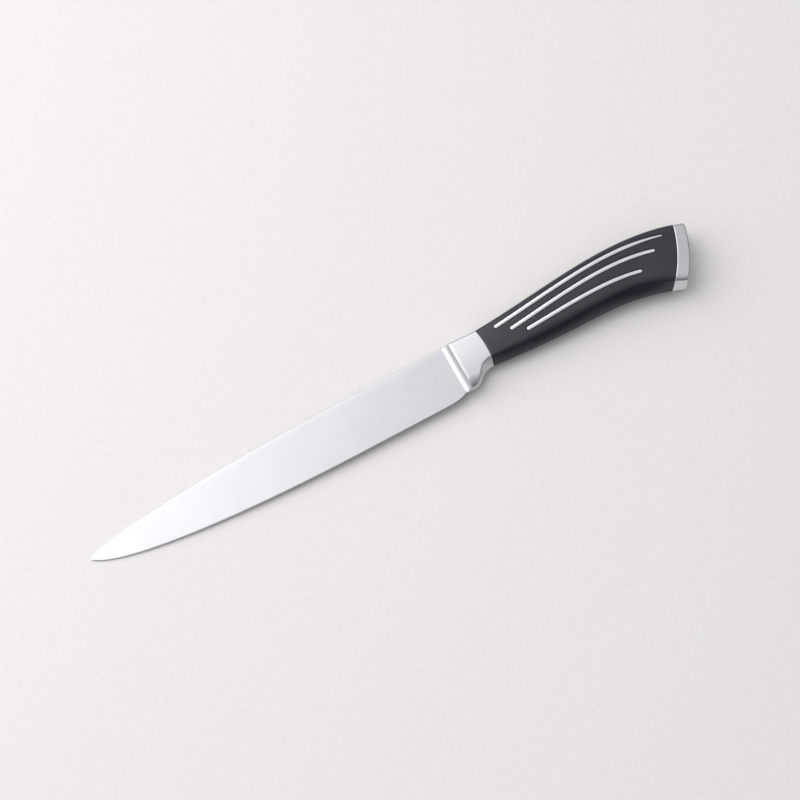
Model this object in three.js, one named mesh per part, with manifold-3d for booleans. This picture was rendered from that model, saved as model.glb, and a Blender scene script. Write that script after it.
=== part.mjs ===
// A slicing knife lying on its side, on tip and butt: the tip points to -X, the spine to +Y.
import * as THREE from "three";
import { mergeVertices } from "three/addons/utils/BufferGeometryUtils.js";
import Module from "manifold-3d";

const wasm = await Module();
wasm.setup();

// Driving dimensions, in millimetres. The heel is at x = 0 and the long axis at y = 0.
const CLEARANCE = 0.3; // between any two neighbouring pieces

// Blade
const BLADE_LENGTH = 203; // heel to tip, which lies on the long axis
const SPINE_HEIGHT = 12.8; // spine above the long axis
const EDGE_DEPTH = 15.8; // cutting edge below the long axis
const TIP_HEIGHT = 0.3; // the blunt end of the tip
const SPINE_STRAIGHT = 45; // straight spine ahead of the heel
const EDGE_STRAIGHT = 65; // end of the straight edge, ahead of the heel
const HEEL_RUN = 16; // length over which the edge lifts to the heel
const HEEL_CORNER = 4; // where that lift turns
const HEEL_LIFT = 2;
const SPINE_THICKNESS = 2.2; // at the heel
const EDGE_THICKNESS = 0.7; // at the heel, behind the bevel
const TIP_THICKNESS = 0.8;
const BEVEL_WIDTH = 0.45; // ground cutting bevel
const BEVEL_END = 0.08; // thickness left at the cutting edge
const SPINE_CHAMFER = 0.3;
const TRIM_SHARE = 0.25; // chamfer and bevel take at most this share of a section near the tip
const SPINE_PULL = 55; // how far the straight spine eases into the curve
const EDGE_PULL = 50;
const TIP_SPINE_PULL = new THREE.Vector2(9, 8.2); // direction of the spine at the tip
const TIP_EDGE_PULL = new THREE.Vector2(13, -12); // direction of the edge at the tip

// Bolster
const BOLSTER_LENGTH = 17.7; // heel to collar, where the grip starts
const TOE_REACH = 1.7; // how far the front fillet reaches onto the blade
const FACE_START = 2; // where the front fillet ends in the flat side
const TOE_WALL = 0.35; // thickness of the fillet's thin front end
const BEAK_LENGTH = 4; // flat bottom of the beak behind the heel
const BEAK_THICKNESS = 4.6;
const BEAK_RADIUS = 1; // rounding of the beak's lower edges
const BEAK_TOP = -9; // height where the side starts to thin towards the beak
const BEAK_PULL = 5.5; // how the underside leaves the beak and reaches the collar
const COLLAR_PULL = 8.2;
const SHOULDER = 1; // depth of the slot that takes the blade's heel
const SEAT_STEP = 0.1; // the heel is ground thinner than the blade's faces where it sits in the slot
const TENON_HEIGHT = 14;
const TENON_CENTRE = 2; // middle of the tenon above the long axis
const WEB = 1.5; // steel left between tenon and tang

// Handle outline, seen from the side
const HANDLE_LENGTH = 120.8; // collar to the upper corner of the butt
const COLLAR_TOP = 11.9;
const COLLAR_BOTTOM = -7.6;
const COLLAR_BULGE = 0.9; // the collar seam bows towards the butt
const BUTT_TOP = 11;
const BUTT_BOTTOM = -18.8;
const BUTT_RAKE = 15.5; // the lower corner of the butt lies this far ahead of the upper one
const BUTT_BULGE = 2.1;
const TOP_FRONT_PULL = new THREE.Vector2(45, 3.4); // how the arch leaves the collar and reaches the butt
const TOP_REAR_PULL = new THREE.Vector2(-36, 13.6);
const BOTTOM_FRONT_PULL = new THREE.Vector2(59, -6);
const BOTTOM_REAR_PULL = new THREE.Vector2(-35, 13.7);
const COLLAR_THICKNESS = 11.2;
const BUTT_THICKNESS = 17.2;
const COLLAR_RADIUS = 1.2; // rounding of the handle's long edges at the collar
const BUTT_TOP_RADIUS = 2.4; // and at the butt
const BUTT_BOTTOM_RADIUS = 4.5;
const TOP_SWELL = 1.2; // extra rounding where the grip is held, above
const BOTTOM_SWELL = 3.2; // and below
const SWELL_FALL = 2; // the larger, the nearer to the collar is the fullest rounding
const ROUNDEST = 0.9; // largest rounding as a share of the half thickness
const KEEL_SHARE = 0.12; // breadth of the underside's rounded keel as a share of the thickness
const KEEL_FRONT_DROP = 3.6; // height of the side's lower edge above the keel, at the collar
const KEEL_REAR_DROP = 6.9; // and what it would grow to at the butt
const KEEL_FADES = 0.75; // share of the handle's length where the underside starts to flatten instead
const KEEL_LEFT = 0.42; // share of the height that is left at the butt
const CROWN = 0.22; // the sides by the collar fall by this much from their fullest line to their upper edge
const CROWN_CENTRE = 2.4; // height of that line
const CROWN_RUN = 80; // length behind the collar over which the crown fades

// End cap
const CAP_TOP_LENGTH = 6; // along the upper outline
const CAP_BOTTOM_LENGTH = 7.2; // along the lower outline
const CAP_EDGE_RADIUS = 0.8;
const CAP_WALL = 2.4; // steel left behind the tang's end

// Tang
const TANG_WIDTH = 9;
const TANG_THICKNESS = 3;
const TANG_SEAT = 6; // depth in the bolster
const ANCHOR_DIAMETER = 4.4; // holes that the grip's posts fill
const ANCHOR_PLACES = [0.3, 0.62]; // shares of the grip's length

// Inlay strips: ends as shares of the grip's length, heights as shares of its depth at the ends and between
const INLAYS = [
  { name: "upper", start: 0.09, end: 0.948, heights: [0.802, 0.852, 0.848], endWidth: 0.9 },
  { name: "middle", start: 0.155, end: 0.907, heights: [0.57, 0.655, 0.639], endWidth: 1.7 },
  { name: "lower", start: 0.228, end: 0.837, heights: [0.379, 0.408, 0.371], endWidth: 1.7 },
];
const INLAY_WIDTH = 1.9;
const INLAY_DEPTH = 1.7; // groove in the grip
const INLAY_RECESS = 0.1; // strip below the side of the grip
const INLAY_CHAMFER = 0.2;
const INLAY_TAPER_START = 0.8; // share of the strip's length where its rear end starts to narrow
const PEG_DIAMETER = 1.3;
const PEG_LENGTH = 1.2; // below the strip
const PEG_PLACES = [0.2, 0.8]; // shares of the strip's length

// Smoothness of the curves
const BLADE_STEPS = 36;
const FILLET_STEPS = 5;
const BEAK_STEPS = 10;
const GRIP_STEPS = 24;
const CAP_STEPS = 4;
const CORNER_STEPS = 4;
const SIDE_STEPS = 4;
const KEEL_STEPS = 3;
const STRIP_STEPS = 18;
const END_STEPS = 4;
const ROUND_SEGMENTS = 16;
const PEG_SEGMENTS = 8;
const WELD_DISTANCE = 1e-4; // corners nearer to each other than this are one

const lerp = THREE.MathUtils.lerp;

function material(colour, roughness, metalness) {
  return new THREE.MeshStandardMaterial({ color: colour, roughness, metalness });
}

// Solids

function solidOf(geometry) {
  const bare = new THREE.BufferGeometry();
  const flat = geometry.index ? geometry.toNonIndexed() : geometry;
  bare.setAttribute("position", flat.getAttribute("position"));
  const merged = mergeVertices(bare, WELD_DISTANCE);
  return new wasm.Manifold(
    new wasm.Mesh({
      numProp: 3,
      vertProperties: merged.attributes.position.array,
      triVerts: new Uint32Array(merged.index.array),
    }),
  );
}

function geometryOf(solid) {
  const mesh = solid.getMesh();
  const geometry = new THREE.BufferGeometry();
  geometry.setAttribute("position", new THREE.BufferAttribute(mesh.vertProperties, 3));
  geometry.setIndex(new THREE.BufferAttribute(mesh.triVerts, 1));
  geometry.computeVertexNormals();
  return geometry;
}

function cut(geometry, cutters) {
  const rest = cutters.reduce((solid, cutter) => solid.subtract(solidOf(cutter)), solidOf(geometry));
  return geometryOf(rest);
}

function join(geometries) {
  return geometryOf(geometries.map(solidOf).reduce((whole, solid) => whole.add(solid)));
}

// The same shape on the other side of the knife's middle plane.
function mirrored(geometry) {
  const copy = geometry.index ? geometry.toNonIndexed() : geometry.clone();
  copy.scale(1, 1, -1);
  const position = copy.getAttribute("position");
  for (let i = 0; i < position.count; i += 3) {
    const second = new THREE.Vector3().fromBufferAttribute(position, i + 1);
    const third = new THREE.Vector3().fromBufferAttribute(position, i + 2);
    position.setXYZ(i + 1, third.x, third.y, third.z);
    position.setXYZ(i + 2, second.x, second.y, second.z);
  }
  return copy;
}

// A closed skin over rings that run towards +x.
// Each ring is given as its near half, from the top down, and the far half mirrors it.
function loft(rings) {
  const near = rings[0].length;
  const around = 2 * near;
  const vertices = [];
  for (const points of rings) {
    const far = points.map((p) => new THREE.Vector3(p.x, p.y, -p.z)).reverse();
    for (const p of [...points, ...far]) vertices.push(p.x, p.y, p.z);
  }
  const triangles = [];
  for (let r = 0; r + 1 < rings.length; r++) {
    for (let j = 0; j < around; j++) {
      const a = r * around + j;
      const b = r * around + ((j + 1) % around);
      triangles.push(a, b, b + around, a, b + around, a + around);
    }
  }
  const last = (rings.length - 1) * around;
  for (let k = 0; k + 1 < near; k++) {
    const other = around - 1 - k;
    triangles.push(k, other, other - 1, k, other - 1, k + 1);
    triangles.push(last + k, last + other - 1, last + other, last + k, last + k + 1, last + other - 1);
  }
  const geometry = new THREE.BufferGeometry();
  geometry.setAttribute("position", new THREE.Float32BufferAttribute(vertices, 3));
  geometry.setIndex(triangles);
  geometry.computeVertexNormals();
  return geometry;
}

// The near half of a rounded section from its top down, as heights above its bottom and half thicknesses.
// The side ends in a rounded edge at the height of drop, and from there the underside falls to its keel.
function nearHalf(height, halfAt, topRadius, bottomRadius, drop) {
  const top = Math.min(topRadius, ROUNDEST * halfAt(height));
  const bottom = Math.min(bottomRadius, ROUNDEST * halfAt(0));
  const keel = KEEL_SHARE * halfAt(drop);
  const fullTurn = Math.atan2(halfAt(drop) - keel, drop);
  const sideEnd = drop + bottom * Math.tan(fullTurn / 2);
  const points = [];
  for (let k = 0; k <= CORNER_STEPS; k++) {
    const turn = (k / CORNER_STEPS) * (Math.PI / 2);
    const s = height - top * (1 - Math.cos(turn));
    points.push({ s, z: halfAt(s) - top * (1 - Math.sin(turn)) });
  }
  for (let k = 1; k < SIDE_STEPS; k++) {
    const s = lerp(height - top, sideEnd, k / SIDE_STEPS);
    points.push({ s, z: halfAt(s) });
  }
  for (let k = 0; k <= CORNER_STEPS; k++) {
    const turn = (k / CORNER_STEPS) * fullTurn;
    const s = sideEnd - bottom * Math.sin(turn);
    points.push({ s, z: halfAt(s) - bottom * (1 - Math.cos(turn)) });
  }
  const edge = points.at(-1);
  const bend = Math.min(keel, edge.z / 2);
  for (let k = 1; k <= KEEL_STEPS; k++) {
    const share = k / (KEEL_STEPS + 0.5);
    points.push({
      s: edge.s * (1 - share) ** 2,
      z: edge.z * (1 - share) ** 2 + 2 * bend * share * (1 - share),
    });
  }
  return points;
}

// A ring across the knife. The line from its bottom to its top may lean and bow towards the butt.
function ring({ top, bottom, bulge }, halfAt, topRadius, bottomRadius, drop = 0, inset = 0) {
  const along = top.clone().sub(bottom);
  const full = along.length();
  along.normalize();
  const rearward = new THREE.Vector2(along.y, -along.x);
  const place = (s) => {
    const offCentre = (2 * (s + inset)) / full - 1;
    return bottom
      .clone()
      .addScaledVector(along, s + inset)
      .addScaledVector(rearward, bulge * (1 - offCentre * offCentre));
  };
  const thick = (s) => {
    const p = place(s);
    return halfAt(p.x, p.y) - inset;
  };
  const half = nearHalf(full - 2 * inset, thick, topRadius - inset, bottomRadius - inset, drop);
  return half.map(({ s, z }) => {
    const p = place(s);
    return new THREE.Vector3(p.x, p.y, z);
  });
}

// Blade

const heelDepth = EDGE_DEPTH - HEEL_LIFT;
const seatStart = -TOE_REACH - CLEARANCE;

// Half thickness of the blade's two flat faces.
function bladeHalf(x, y) {
  const perHeight = (SPINE_THICKNESS - EDGE_THICKNESS) / 2 / (SPINE_HEIGHT + EDGE_DEPTH);
  const atAxis = SPINE_THICKNESS / 2 - perHeight * SPINE_HEIGHT;
  const perLength = (atAxis - TIP_THICKNESS / 2) / BLADE_LENGTH;
  return atAxis + perLength * x + perHeight * y;
}

function spinePath() {
  const tip = new THREE.Vector2(-BLADE_LENGTH, TIP_HEIGHT / 2);
  const path = new THREE.Path();
  path.moveTo(seatStart, SPINE_HEIGHT);
  path.lineTo(-SPINE_STRAIGHT, SPINE_HEIGHT);
  path.bezierCurveTo(
    -SPINE_STRAIGHT - SPINE_PULL,
    SPINE_HEIGHT,
    tip.x + TIP_SPINE_PULL.x,
    tip.y + TIP_SPINE_PULL.y,
    tip.x,
    tip.y,
  );
  return path;
}

function edgePath() {
  const tip = new THREE.Vector2(-BLADE_LENGTH, -TIP_HEIGHT / 2);
  const path = new THREE.Path();
  path.moveTo(seatStart, -heelDepth);
  path.quadraticCurveTo(-HEEL_CORNER, -EDGE_DEPTH, -HEEL_RUN, -EDGE_DEPTH);
  path.lineTo(-EDGE_STRAIGHT, -EDGE_DEPTH);
  path.bezierCurveTo(
    -EDGE_STRAIGHT - EDGE_PULL,
    -EDGE_DEPTH,
    tip.x + TIP_EDGE_PULL.x,
    tip.y + TIP_EDGE_PULL.y,
    tip.x,
    tip.y,
  );
  return path;
}

// One section of the blade: chamfered spine, flat face, cutting bevel.
function bladeRing(spine, edge) {
  const down = edge.clone().sub(spine);
  const height = down.length();
  down.normalize();
  const thickness = 2 * bladeHalf(spine.x, spine.y);
  const chamfer = Math.min(SPINE_CHAMFER, TRIM_SHARE * height, TRIM_SHARE * thickness);
  const bevel = Math.min(BEVEL_WIDTH, TRIM_SHARE * height);
  const shoulder = spine.clone().addScaledVector(down, chamfer);
  const bevelTop = edge.clone().addScaledVector(down, -bevel);
  return [
    new THREE.Vector3(spine.x, spine.y, thickness / 2 - chamfer),
    new THREE.Vector3(shoulder.x, shoulder.y, bladeHalf(shoulder.x, shoulder.y)),
    new THREE.Vector3(bevelTop.x, bevelTop.y, bladeHalf(bevelTop.x, bevelTop.y)),
    new THREE.Vector3(edge.x, edge.y, BEVEL_END / 2),
  ];
}

// A block whose sides follow the blade's faces, thicker than the blade by grow on each side.
function wedge(from, to, low, high, grow) {
  const ends = [from, to].map((x) =>
    [high, low].map((y) => new THREE.Vector3(x, y, bladeHalf(x, y) + grow)),
  );
  return loft(ends);
}

const seatLow = -heelDepth + BEVEL_WIDTH;
const seatHigh = SPINE_HEIGHT - SPINE_CHAMFER;
const tenonEnd = BOLSTER_LENGTH - TANG_SEAT - WEB;

function tenon(from, grow) {
  const half = TENON_HEIGHT / 2 + grow;
  return wedge(from, tenonEnd + grow, TENON_CENTRE - half, TENON_CENTRE + half, grow);
}

function bladeGeometry() {
  const spine = spinePath().getSpacedPoints(BLADE_STEPS).reverse();
  const edge = edgePath().getSpacedPoints(BLADE_STEPS).reverse();
  const body = loft(spine.map((point, i) => bladeRing(point, edge[i])));
  const seat = wedge(seatStart - SHOULDER, SHOULDER, seatLow, seatHigh, -SEAT_STEP);
  return join([body, seat, tenon(0, -SEAT_STEP)]);
}

// Handle outline

const collarX = BOLSTER_LENGTH;
const buttX = collarX + HANDLE_LENGTH;

function outline(from, fromPull, to, toPull) {
  return new THREE.CubicBezierCurve(from, from.clone().add(fromPull), to.clone().add(toPull), to);
}

const topCurve = outline(
  new THREE.Vector2(collarX, COLLAR_TOP),
  TOP_FRONT_PULL,
  new THREE.Vector2(buttX, BUTT_TOP),
  TOP_REAR_PULL,
);
const bottomCurve = outline(
  new THREE.Vector2(collarX, COLLAR_BOTTOM),
  BOTTOM_FRONT_PULL,
  new THREE.Vector2(buttX - BUTT_RAKE, BUTT_BOTTOM),
  BOTTOM_REAR_PULL,
);
const topLength = topCurve.getLength();
const bottomLength = bottomCurve.getLength();

// Half thickness of the handle, whose sides widen evenly towards the butt and are crowned by the collar.
function sideHalf(x, y) {
  const flat = lerp(COLLAR_THICKNESS, BUTT_THICKNESS, (x - collarX) / HANDLE_LENGTH) / 2;
  const behind = THREE.MathUtils.clamp((x - collarX) / CROWN_RUN, 0, 1);
  const offCentre = (y - CROWN_CENTRE) / (COLLAR_TOP - CROWN_CENTRE);
  return flat - CROWN * (1 - behind) ** 2 * offCentre ** 2;
}

// The line across the handle at given distances ahead of the butt along its two outlines.
function station(topBack, bottomBack) {
  const share = 1 - topBack / topLength;
  return {
    top: topCurve.getPointAt(share),
    bottom: bottomCurve.getPointAt(1 - bottomBack / bottomLength),
    bulge: lerp(COLLAR_BULGE, BUTT_BULGE, share),
    share,
  };
}

// The line across the grip at a share of its length: 0 at the collar, 1 at the end cap.
function gripStation(share) {
  return station(lerp(topLength, CAP_TOP_LENGTH, share), lerp(bottomLength, CAP_BOTTOM_LENGTH, share));
}

// How far the rounding has swollen: none at either end of the handle and 1 at its fullest.
function swell(share) {
  const shape = (s) => s * (1 - s) ** SWELL_FALL;
  return shape(share) / shape(1 / (SWELL_FALL + 1));
}

// How far the underside falls from the side's lower edge to its keel.
function keelDrop(share) {
  const faded = Math.max((share - KEEL_FADES) / (1 - KEEL_FADES), 0);
  return lerp(KEEL_FRONT_DROP, KEEL_REAR_DROP, share) * (1 - (1 - KEEL_LEFT) * faded ** 2);
}

function handleRing(place, inset = 0) {
  const extra = swell(place.share);
  const topRadius = lerp(COLLAR_RADIUS, BUTT_TOP_RADIUS, place.share) + TOP_SWELL * extra;
  const bottomRadius = lerp(COLLAR_RADIUS, BUTT_BOTTOM_RADIUS, place.share) + BOTTOM_SWELL * extra;
  return ring(place, sideHalf, topRadius, bottomRadius, keelDrop(place.share), inset);
}

// A point on the grip's side, at a share of its length and of its depth.
function gripPoint(share, height) {
  const { top, bottom } = gripStation(share);
  return bottom.lerp(top, height);
}

// Tang

// The outline of a band along a centre line, with square or round ends.
function band(centre, halfWidthAt, roundEnds) {
  const last = centre.length - 1;
  const left = [];
  const right = [];
  centre.forEach((point, i) => {
    const ahead = centre[Math.min(i + 1, last)].clone().sub(centre[Math.max(i - 1, 0)]).normalize();
    const side = new THREE.Vector2(-ahead.y, ahead.x);
    left.push(point.clone().addScaledVector(side, halfWidthAt(i / last)));
    right.push(point.clone().addScaledVector(side, -halfWidthAt(i / last)));
  });
  const roundEnd = (from, about) => {
    const spoke = from.clone().sub(about);
    const points = [];
    for (let k = 1; roundEnds && k < END_STEPS; k++) {
      points.push(spoke.clone().rotateAround(new THREE.Vector2(), (Math.PI * k) / END_STEPS).add(about));
    }
    return points;
  };
  const front = roundEnd(left[0], centre[0]);
  const rear = roundEnd(right[last], centre[last]);
  return new THREE.Shape([...right, ...rear, ...left.reverse(), ...front]);
}

// The tang runs down the middle of the handle, from its seat in the bolster to its socket in the cap.
function tangCentre(grow) {
  const points = [];
  for (let k = 0; k <= STRIP_STEPS; k++) points.push(gripPoint(k / STRIP_STEPS, 0.5));
  const forward = points[0].clone().sub(points[1]).normalize();
  const { top, bottom, bulge } = gripStation(1);
  const rearward = new THREE.Vector2(top.y - bottom.y, bottom.x - top.x).normalize();
  points[0].addScaledVector(forward, TANG_SEAT + grow);
  points[STRIP_STEPS].addScaledVector(rearward, bulge + CAP_TOP_LENGTH - CAP_WALL + grow);
  return points;
}

function tangGeometry(grow) {
  const shape = band(tangCentre(grow), () => TANG_WIDTH / 2 + grow, false);
  for (const place of ANCHOR_PLACES) {
    const centre = gripPoint(place, 0.5);
    const hole = new THREE.Path();
    hole.absarc(centre.x, centre.y, ANCHOR_DIAMETER / 2 - grow, 0, 2 * Math.PI, true);
    shape.holes.push(hole);
  }
  const depth = TANG_THICKNESS + 2 * grow;
  const options = { depth, bevelEnabled: false, curveSegments: ROUND_SEGMENTS };
  return new THREE.ExtrudeGeometry(shape, options).translate(0, 0, -depth / 2);
}

// Bolster

// The underside of the bolster, from the end of the beak's flat bottom up to the collar.
function beakCurve() {
  return new THREE.CubicBezierCurve(
    new THREE.Vector2(BEAK_LENGTH, -heelDepth),
    new THREE.Vector2(BEAK_LENGTH + BEAK_PULL, -heelDepth),
    new THREE.Vector2(collarX - COLLAR_PULL, COLLAR_BOTTOM),
    new THREE.Vector2(collarX, COLLAR_BOTTOM),
  );
}

// Half thickness of the bolster's sides: those of the handle, thinned towards the bottom of the beak.
function bolsterHalf(x, y) {
  const side = sideHalf(x, y);
  const down = THREE.MathUtils.clamp((BEAK_TOP - y) / (BEAK_TOP + heelDepth), 0, 1);
  const behind = THREE.MathUtils.smoothstep(x, BEAK_LENGTH, collarX);
  return side - (side - BEAK_THICKNESS / 2) * down * down * (1 - behind);
}

function bolsterRing(x, bottomY, rise, bulge, drop) {
  const behind = (x + TOE_REACH) / (collarX + TOE_REACH);
  const toe = (px, py) => bladeHalf(px, py) + CLEARANCE + TOE_WALL;
  const half = (px, py) => lerp(toe(px, py), bolsterHalf(px, py), rise);
  const place = {
    top: new THREE.Vector2(x, lerp(SPINE_HEIGHT, COLLAR_TOP, behind)),
    bottom: new THREE.Vector2(x, bottomY),
    bulge,
  };
  return ring(place, half, COLLAR_RADIUS, lerp(BEAK_RADIUS, COLLAR_RADIUS, behind), drop);
}

function bolsterGeometry() {
  const rings = [];
  for (let k = 0; k <= FILLET_STEPS; k++) {
    const turn = (k / FILLET_STEPS) * (Math.PI / 2);
    const x = lerp(-TOE_REACH, FACE_START, Math.sin(turn));
    rings.push(bolsterRing(x, -heelDepth, 1 - Math.cos(turn), 0, 0));
  }
  const underside = beakCurve();
  for (let k = 0; k <= BEAK_STEPS; k++) {
    const share = k / BEAK_STEPS;
    const point = underside.getPoint(share);
    const drop = KEEL_FRONT_DROP * share * (2 - share);
    rings.push(bolsterRing(point.x, point.y, 1, COLLAR_BULGE * share, drop));
  }
  const above = SPINE_HEIGHT + CLEARANCE;
  const slot = wedge(seatStart, SHOULDER + CLEARANCE, seatLow - CLEARANCE, above, CLEARANCE);
  return cut(loft(rings), [slot, tenon(SHOULDER, CLEARANCE), tangGeometry(CLEARANCE)]);
}

// Inlay strips

function inlayCentre({ start, end, heights }) {
  const [first, between, final] = heights;
  const height = new THREE.QuadraticBezierCurve(
    new THREE.Vector2(0, first),
    new THREE.Vector2(0.5, 2 * between - (first + final) / 2),
    new THREE.Vector2(1, final),
  );
  const points = [];
  for (let k = 0; k <= STRIP_STEPS; k++) {
    const share = k / STRIP_STEPS;
    points.push(gripPoint(lerp(start, end, share), height.getPoint(share).y));
  }
  return points;
}

// Lays a shape drawn about z = 0 onto the near side of the grip.
function onSide(geometry) {
  const position = geometry.getAttribute("position");
  for (let i = 0; i < position.count; i++) {
    position.setZ(i, position.getZ(i) + sideHalf(position.getX(i), position.getY(i)));
  }
  return geometry;
}

function pegs(centre, radius, from, to) {
  return PEG_PLACES.map((place) => {
    const point = centre[Math.round(place * STRIP_STEPS)];
    const peg = new THREE.CylinderGeometry(radius, radius, to - from, PEG_SEGMENTS);
    peg.rotateX(Math.PI / 2);
    return onSide(peg.translate(point.x, point.y, (from + to) / 2));
  });
}

function inlayHalfWidth({ endWidth }) {
  return (share) => {
    const narrowed = Math.max(0, share - INLAY_TAPER_START) / (1 - INLAY_TAPER_START);
    return lerp(INLAY_WIDTH, endWidth, narrowed) / 2;
  };
}

function inlayGeometry(inlay) {
  const centre = inlayCentre(inlay);
  const floor = CLEARANCE - INLAY_DEPTH;
  const strip = new THREE.ExtrudeGeometry(band(centre, inlayHalfWidth(inlay), true), {
    depth: -INLAY_RECESS - floor - 2 * INLAY_CHAMFER,
    bevelThickness: INLAY_CHAMFER,
    bevelSize: INLAY_CHAMFER,
    bevelOffset: -INLAY_CHAMFER,
    bevelSegments: 1,
  });
  onSide(strip.translate(0, 0, floor + INLAY_CHAMFER));
  return join([strip, ...pegs(centre, PEG_DIAMETER / 2, floor - PEG_LENGTH, floor + INLAY_CHAMFER)]);
}

// The groove and blind peg holes that take one strip.
function inlayCutters(inlay) {
  const centre = inlayCentre(inlay);
  const halfWidth = inlayHalfWidth(inlay);
  const above = INLAY_DEPTH;
  const shape = band(centre, (share) => halfWidth(share) + CLEARANCE, true);
  const groove = new THREE.ExtrudeGeometry(shape, { depth: INLAY_DEPTH + above, bevelEnabled: false });
  onSide(groove.translate(0, 0, -INLAY_DEPTH));
  const deepest = -INLAY_DEPTH - PEG_LENGTH;
  const holes = pegs(centre, PEG_DIAMETER / 2 + CLEARANCE, deepest, CLEARANCE - INLAY_DEPTH);
  return [groove, ...holes];
}

// Grip

function gripGeometry() {
  const rings = [];
  for (let k = 0; k <= GRIP_STEPS; k++) {
    const share = k / GRIP_STEPS;
    const topBack = lerp(topLength - CLEARANCE, CAP_TOP_LENGTH, share);
    const bottomBack = lerp(bottomLength - CLEARANCE, CAP_BOTTOM_LENGTH, share);
    rings.push(handleRing(station(topBack, bottomBack)));
  }
  const near = INLAYS.flatMap(inlayCutters);
  return cut(loft(rings), [tangGeometry(CLEARANCE), ...near, ...near.map(mirrored)]);
}

// End cap

function capGeometry() {
  const rings = [];
  for (let k = 0; k <= CAP_STEPS; k++) {
    const share = k / CAP_STEPS;
    const topBack = lerp(CAP_TOP_LENGTH - CLEARANCE, CAP_EDGE_RADIUS, share);
    const bottomBack = lerp(CAP_BOTTOM_LENGTH - CLEARANCE, CAP_EDGE_RADIUS, share);
    rings.push(handleRing(station(topBack, bottomBack)));
  }
  for (let k = 1; k <= CORNER_STEPS; k++) {
    const turn = (k / CORNER_STEPS) * (Math.PI / 2);
    const back = CAP_EDGE_RADIUS * (1 - Math.sin(turn));
    rings.push(handleRing(station(back, back), CAP_EDGE_RADIUS * (1 - Math.cos(turn))));
  }
  return cut(loft(rings), [tangGeometry(CLEARANCE)]);
}

// Assembly

const steel = { blade: [0xd9d9de, 0.32, 1], cast: [0xc6c6cb, 0.35, 1], core: [0x8c8f94, 0.55, 1] };
const strip = [0xe6e6ea, 0.2, 1];
const plastic = [0x26262b, 0.5, 0];

const knife = new THREE.Group();

function add(name, geometry, finish) {
  const mesh = new THREE.Mesh(geometry, material(...finish));
  mesh.name = name;
  knife.add(mesh);
  return mesh;
}

add("blade", bladeGeometry(), steel.blade);
add("bolster", bolsterGeometry(), steel.cast);
add("tang", tangGeometry(0), steel.core);
add("grip", gripGeometry(), plastic);
add("end_cap", capGeometry(), steel.cast);
for (const inlay of INLAYS) {
  const geometry = inlayGeometry(inlay);
  add("inlay_near_" + inlay.name, geometry, strip);
  add("inlay_far_" + inlay.name, geometry, strip).scale.z = -1;
}

// The knife lies on the tip of its blade and the thickest part of its handle.
function restTilt() {
  const tip = new THREE.Vector3(-BLADE_LENGTH, 0, -TIP_THICKNESS / 2);
  let steepest = 0;
  for (const mesh of knife.children) {
    const position = mesh.geometry.getAttribute("position");
    for (let i = 0; i < position.count; i++) {
      const behindHeel = position.getX(i);
      const drop = Math.abs(position.getZ(i)) + tip.z;
      if (behindHeel > 0) steepest = Math.max(steepest, drop / (behindHeel - tip.x));
    }
  }
  return Math.atan(steepest);
}

// The origin is under the middle of the knife, on the surface it lies on.
const part = new THREE.Group();
part.add(knife);
knife.rotation.y = -restTilt();
part.updateMatrixWorld(true);
const box = new THREE.Box3().setFromObject(part, true);
const middle = box.getCenter(new THREE.Vector3());
knife.position.set(-middle.x, -middle.y, -box.min.z);

export default part;
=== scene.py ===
"""A slicing knife on a pale floor, lit by a large soft light."""

import math

import bmesh
import bpy
import numpy as np
from mathutils import Matrix, Vector


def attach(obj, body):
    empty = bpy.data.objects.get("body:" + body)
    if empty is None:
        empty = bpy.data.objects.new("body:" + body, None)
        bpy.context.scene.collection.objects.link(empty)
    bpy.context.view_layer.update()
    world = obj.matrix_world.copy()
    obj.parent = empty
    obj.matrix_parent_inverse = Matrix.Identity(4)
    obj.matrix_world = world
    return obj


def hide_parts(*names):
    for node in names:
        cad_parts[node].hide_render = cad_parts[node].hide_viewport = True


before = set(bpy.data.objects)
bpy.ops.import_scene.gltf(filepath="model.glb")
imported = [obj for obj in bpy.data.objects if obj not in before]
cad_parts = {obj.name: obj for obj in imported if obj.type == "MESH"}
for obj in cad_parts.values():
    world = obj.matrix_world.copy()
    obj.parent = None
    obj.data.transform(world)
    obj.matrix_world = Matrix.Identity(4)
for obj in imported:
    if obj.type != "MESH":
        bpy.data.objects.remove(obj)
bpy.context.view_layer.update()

# Sizes in millimetres. The heel is at x = 0 and the long axis at y = 0, as in the part's own drawing.
MM = 0.001
CLEARANCE = 0.3  # round the tang and the tenon, inside
SEAM = 0.05  # between pieces that show no gap

# Blade
BLADE_LENGTH = 203  # heel to tip, which lies on the long axis
SPINE_HEIGHT = 12.8  # spine above the long axis
EDGE_DEPTH = 15.8  # cutting edge below the long axis
TIP_HEIGHT = 0.3  # the blunt end of the tip
SPINE_STRAIGHT = 45  # straight spine ahead of the heel
EDGE_STRAIGHT = 65  # end of the straight edge, ahead of the heel
HEEL_RUN = 16  # length over which the edge lifts to the heel
HEEL_CORNER = 4  # where that lift turns
HEEL_LIFT = 2
SPINE_THICKNESS = 2.2  # at the heel
EDGE_THICKNESS = 0.7  # at the heel, behind the bevel
TIP_THICKNESS = 0.8
BEVEL_WIDTH = 0.45  # ground cutting bevel
BEVEL_END = 0.08  # thickness left at the cutting edge
SPINE_CHAMFER = 0.3  # the spine's corner, which is rounded here
TRIM_SHARE = 0.25  # corner and bevel take at most this share of a section near the tip
SPINE_PULL = 55  # how far the straight spine eases into the curve
EDGE_PULL = 50
TIP_SPINE_PULL = (9, 8.2)  # direction of the spine at the tip
TIP_EDGE_PULL = (13, -12)  # direction of the edge at the tip
SEAT_STEP = 0.1  # the heel is ground thinner than the blade's faces where it sits in the slot

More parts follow.
